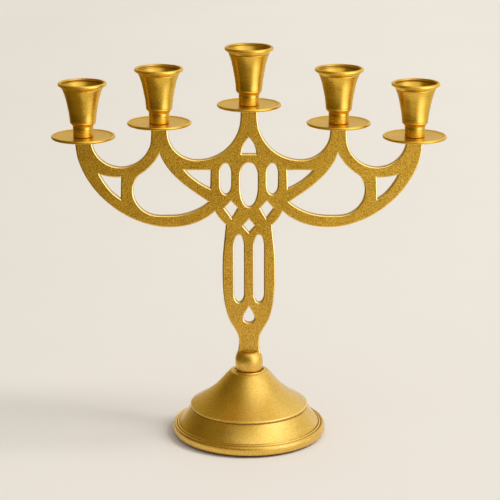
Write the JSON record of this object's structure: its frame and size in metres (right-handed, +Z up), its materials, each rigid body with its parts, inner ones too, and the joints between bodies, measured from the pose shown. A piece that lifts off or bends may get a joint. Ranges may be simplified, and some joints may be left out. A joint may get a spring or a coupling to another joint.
{
  "type": "menorah",
  "caption": "Flat openwork brass menorah on a round spun foot, its curved branches each carrying a round drip pan and a flared screw-on candle cup.",
  "frame": {"origin": "centre of the foot's underside, on the surface that the object stands on", "axes": "+Z up along the stem; +X along the row of branches, to the right seen from the front; the openwork plate's front face looks along -Y"},
  "size_m": [0.3416, 0.1358, 0.3489],
  "materials": {
    "cast_brass": "satin, sand-textured cast gold lacquer",
    "turned_brass": "turned and brushed, glossy gold lacquer",
    "satin_brass": "satin spun, fine-grained gold lacquer",
    "steel": "zinc-plated, dull",
    "iron": "rough cast",
    "felt": "dense felt"
  },
  "bodies": {
    "stand": {"frame": "cast_brass", "stem_knob": "cast_brass", "base_shell": "satin_brass", "base_ballast": "iron", "base_felt_pad": "felt", "base_flat_washer": "steel", "base_lock_washer": "steel", "base_nut": "steel", "tie_rod": "steel", "arm_stud_centre": "steel", "arm_stud_left_inner": "steel", "arm_stud_right_inner": "steel", "arm_stud_left_outer": "steel", "arm_stud_right_outer": "steel"},
    "pan_centre": {"drip_pan_centre": "satin_brass"},
    "cup_centre": {"candle_cup_centre": "turned_brass"},
    "pan_left_inner": {"drip_pan_left_inner": "satin_brass"},
    "cup_left_inner": {"candle_cup_left_inner": "turned_brass"},
    "pan_right_inner": {"drip_pan_right_inner": "satin_brass"},
    "cup_right_inner": {"candle_cup_right_inner": "turned_brass"},
    "pan_left_outer": {"drip_pan_left_outer": "satin_brass"},
    "cup_left_outer": {"candle_cup_left_outer": "turned_brass"},
    "pan_right_outer": {"drip_pan_right_outer": "satin_brass"},
    "cup_right_outer": {"candle_cup_right_outer": "turned_brass"}
  },
  "joints": [
    {"name": "centre_cup_turn", "type": "hinge", "parent": "stand", "child": "pan_centre", "pos_m": [0, 0, 0.2983], "axis": [0, 0, 1], "range_deg": [0, 3600]},
    {"name": "centre_cup_rise", "type": "slide", "parent": "pan_centre", "child": "cup_centre", "axis": [0, 0, 1], "range_m": [0, 0.007]},
    {"name": "left_inner_cup_turn", "type": "hinge", "parent": "stand", "child": "pan_left_inner", "pos_m": [-0.0773, 0, 0.2825], "axis": [0, 0, 1], "range_deg": [0, 3600]},
    {"name": "left_inner_cup_rise", "type": "slide", "parent": "pan_left_inner", "child": "cup_left_inner", "axis": [0, 0, 1], "range_m": [0, 0.007]},
    {"name": "right_inner_cup_turn", "type": "hinge", "parent": "stand", "child": "pan_right_inner", "pos_m": [0.0773, 0, 0.2825], "axis": [0, 0, 1], "range_deg": [0, 3600]},
    {"name": "right_inner_cup_rise", "type": "slide", "parent": "pan_right_inner", "child": "cup_right_inner", "axis": [0, 0, 1], "range_m": [0, 0.007]},
    {"name": "left_outer_cup_turn", "type": "hinge", "parent": "stand", "child": "pan_left_outer", "pos_m": [-0.1431, 0, 0.2706], "axis": [0, 0, 1], "range_deg": [0, 3600]},
    {"name": "left_outer_cup_rise", "type": "slide", "parent": "pan_left_outer", "child": "cup_left_outer", "axis": [0, 0, 1], "range_m": [0, 0.007]},
    {"name": "right_outer_cup_turn", "type": "hinge", "parent": "stand", "child": "pan_right_outer", "pos_m": [0.1431, 0, 0.2706], "axis": [0, 0, 1], "range_deg": [0, 3600]},
    {"name": "right_outer_cup_rise", "type": "slide", "parent": "pan_right_outer", "child": "cup_right_outer", "axis": [0, 0, 1], "range_m": [0, 0.007]}
  ],
  "couplings": [
    {"joint": "centre_cup_rise", "follows": "centre_cup_turn", "m_per_rad": 0.00011141},
    {"joint": "left_inner_cup_rise", "follows": "left_inner_cup_turn", "m_per_rad": 0.00011141},
    {"joint": "right_inner_cup_rise", "follows": "right_inner_cup_turn", "m_per_rad": 0.00011141},
    {"joint": "left_outer_cup_rise", "follows": "left_outer_cup_turn", "m_per_rad": 0.00011141},
    {"joint": "right_outer_cup_rise", "follows": "right_outer_cup_turn", "m_per_rad": 0.00011141}
  ]
}
